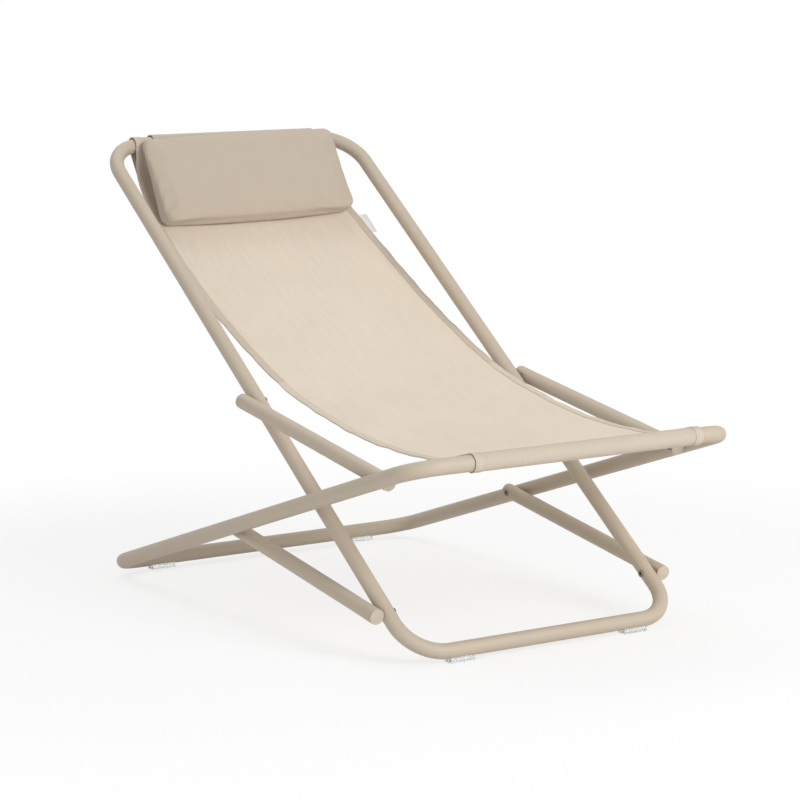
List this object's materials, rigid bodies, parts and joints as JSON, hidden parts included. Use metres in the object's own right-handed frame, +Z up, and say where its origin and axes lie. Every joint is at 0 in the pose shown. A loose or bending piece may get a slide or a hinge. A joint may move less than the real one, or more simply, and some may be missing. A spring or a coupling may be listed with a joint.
{
  "type": "folding sling lounge chair",
  "caption": "Low folding deck chair: two looped tube frames crossed like scissors and joined by struts, a hanging mesh sling and a small headrest pillow.",
  "frame": {"origin": "on the floor, below the middle of the chair's bounding box", "axes": "+Z up, the sitter faces -Y, +X to the sitter's left"},
  "size_m": [0.6422, 1.0938, 0.7714],
  "materials": {
    "frame_paint": "satin taupe powder coat",
    "cap_plastic": "satin moulded plastic",
    "bolt_steel": "dark plated",
    "washer_nylon": "plain nylon",
    "insert_steel": "zinc plated",
    "spigot_steel": "plain",
    "glide_clear": "clear moulded plastic",
    "sling_mesh": "woven outdoor mesh, light beige",
    "hem_tape": "taupe woven tape, two rows of stitches",
    "pillow_cloth": "soft taupe cloth",
    "weight_steel": "plain, inside its hem",
    "tag_tape": "blank off-white tape"
  },
  "bodies": {
    "back_frame": {"back_frame": "frame_paint", "back_spigot": "spigot_steel", "bolt_back_upper_left": "bolt_steel", "bolt_back_upper_right": "bolt_steel", "bolt_back_lower_left": "bolt_steel", "bolt_back_lower_right": "bolt_steel", "washer_back_upper_left": "washer_nylon", "washer_back_upper_right": "washer_nylon", "washer_back_lower_left": "washer_nylon", "washer_back_lower_right": "washer_nylon", "back_glide_left": "glide_clear", "back_glide_right": "glide_clear", "sling_back": "sling_mesh", "binding_back_left": "hem_tape", "binding_back_right": "hem_tape", "side_tag": "tag_tape"},
    "seat_frame": {"seat_frame": "frame_paint", "seat_spigot": "spigot_steel", "insert_seat_upper_left": "insert_steel", "insert_seat_upper_right": "insert_steel", "insert_seat_lower_left": "insert_steel", "insert_seat_lower_right": "insert_steel", "seat_glide_left": "glide_clear", "seat_glide_right": "glide_clear", "sling_seat": "sling_mesh", "binding_seat_left": "hem_tape", "binding_seat_right": "hem_tape"},
    "headrest": {"headrest_pillow": "pillow_cloth", "headrest_band": "pillow_cloth", "headrest_weight": "weight_steel"},
    "upper_strut_left": {"upper_strut_left": "frame_paint", "upper_strut_left_rear_cap": "cap_plastic", "upper_strut_left_front_cap": "cap_plastic", "insert_back_upper_left": "insert_steel", "bolt_seat_upper_left": "bolt_steel", "washer_seat_upper_left": "washer_nylon"},
    "lower_strut_left": {"lower_strut_left": "frame_paint", "lower_strut_left_rear_cap": "cap_plastic", "lower_strut_left_front_cap": "cap_plastic", "insert_back_lower_left": "insert_steel", "bolt_seat_lower_left": "bolt_steel", "washer_seat_lower_left": "washer_nylon"},
    "upper_strut_right": {"upper_strut_right": "frame_paint", "upper_strut_right_rear_cap": "cap_plastic", "upper_strut_right_front_cap": "cap_plastic", "insert_back_upper_right": "insert_steel", "bolt_seat_upper_right": "bolt_steel", "washer_seat_upper_right": "washer_nylon"},
    "lower_strut_right": {"lower_strut_right": "frame_paint", "lower_strut_right_rear_cap": "cap_plastic", "lower_strut_right_front_cap": "cap_plastic", "insert_back_lower_right": "insert_steel", "bolt_seat_lower_right": "bolt_steel", "washer_seat_lower_right": "washer_nylon"}
  },
  "joints": [
    {"name": "fold", "type": "hinge", "parent": "back_frame", "child": "upper_strut_left", "pos_m": [-0.2823, -0.00586, 0.35798], "axis": [-1, 0, 0], "range_deg": [0, 148.75], "deforming": ["sling_back", "sling_seat", "binding_back_left", "binding_back_right", "binding_seat_left", "binding_seat_right", "side_tag"]},
    {"name": "fold_right", "type": "hinge", "parent": "back_frame", "child": "upper_strut_right", "pos_m": [0.2823, -0.00586, 0.35798], "axis": [-1, 0, 0], "range_deg": [0, 148.75]},
    {"name": "seat_turn", "type": "hinge", "parent": "upper_strut_left", "child": "seat_frame", "pos_m": [-0.3081, -0.42109, 0.28849], "axis": [1, 0, 0], "range_deg": [0, 27.13]},
    {"name": "lower_left_turn", "type": "hinge", "parent": "back_frame", "child": "lower_strut_left", "pos_m": [-0.2823, -0.38514, 0.07368], "axis": [1, 0, 0], "range_deg": [0, 27.13]},
    {"name": "lower_right_turn", "type": "hinge", "parent": "back_frame", "child": "lower_strut_right", "pos_m": [0.2823, -0.38514, 0.07368], "axis": [1, 0, 0], "range_deg": [0, 27.13]},
    {"name": "headrest_lift", "type": "slide", "parent": "back_frame", "child": "headrest", "axis": [0, 0, 1], "range_m": [0, 0.18]}
  ],
  "couplings": [
    {"joint": "fold_right", "follows": "fold", "ratio": 1},
    {"joint": "seat_turn", "follows": "fold", "ratio": 0.18234},
    {"joint": "lower_left_turn", "follows": "fold", "ratio": 0.18234},
    {"joint": "lower_right_turn", "follows": "fold", "ratio": 0.18234}
  ]
}
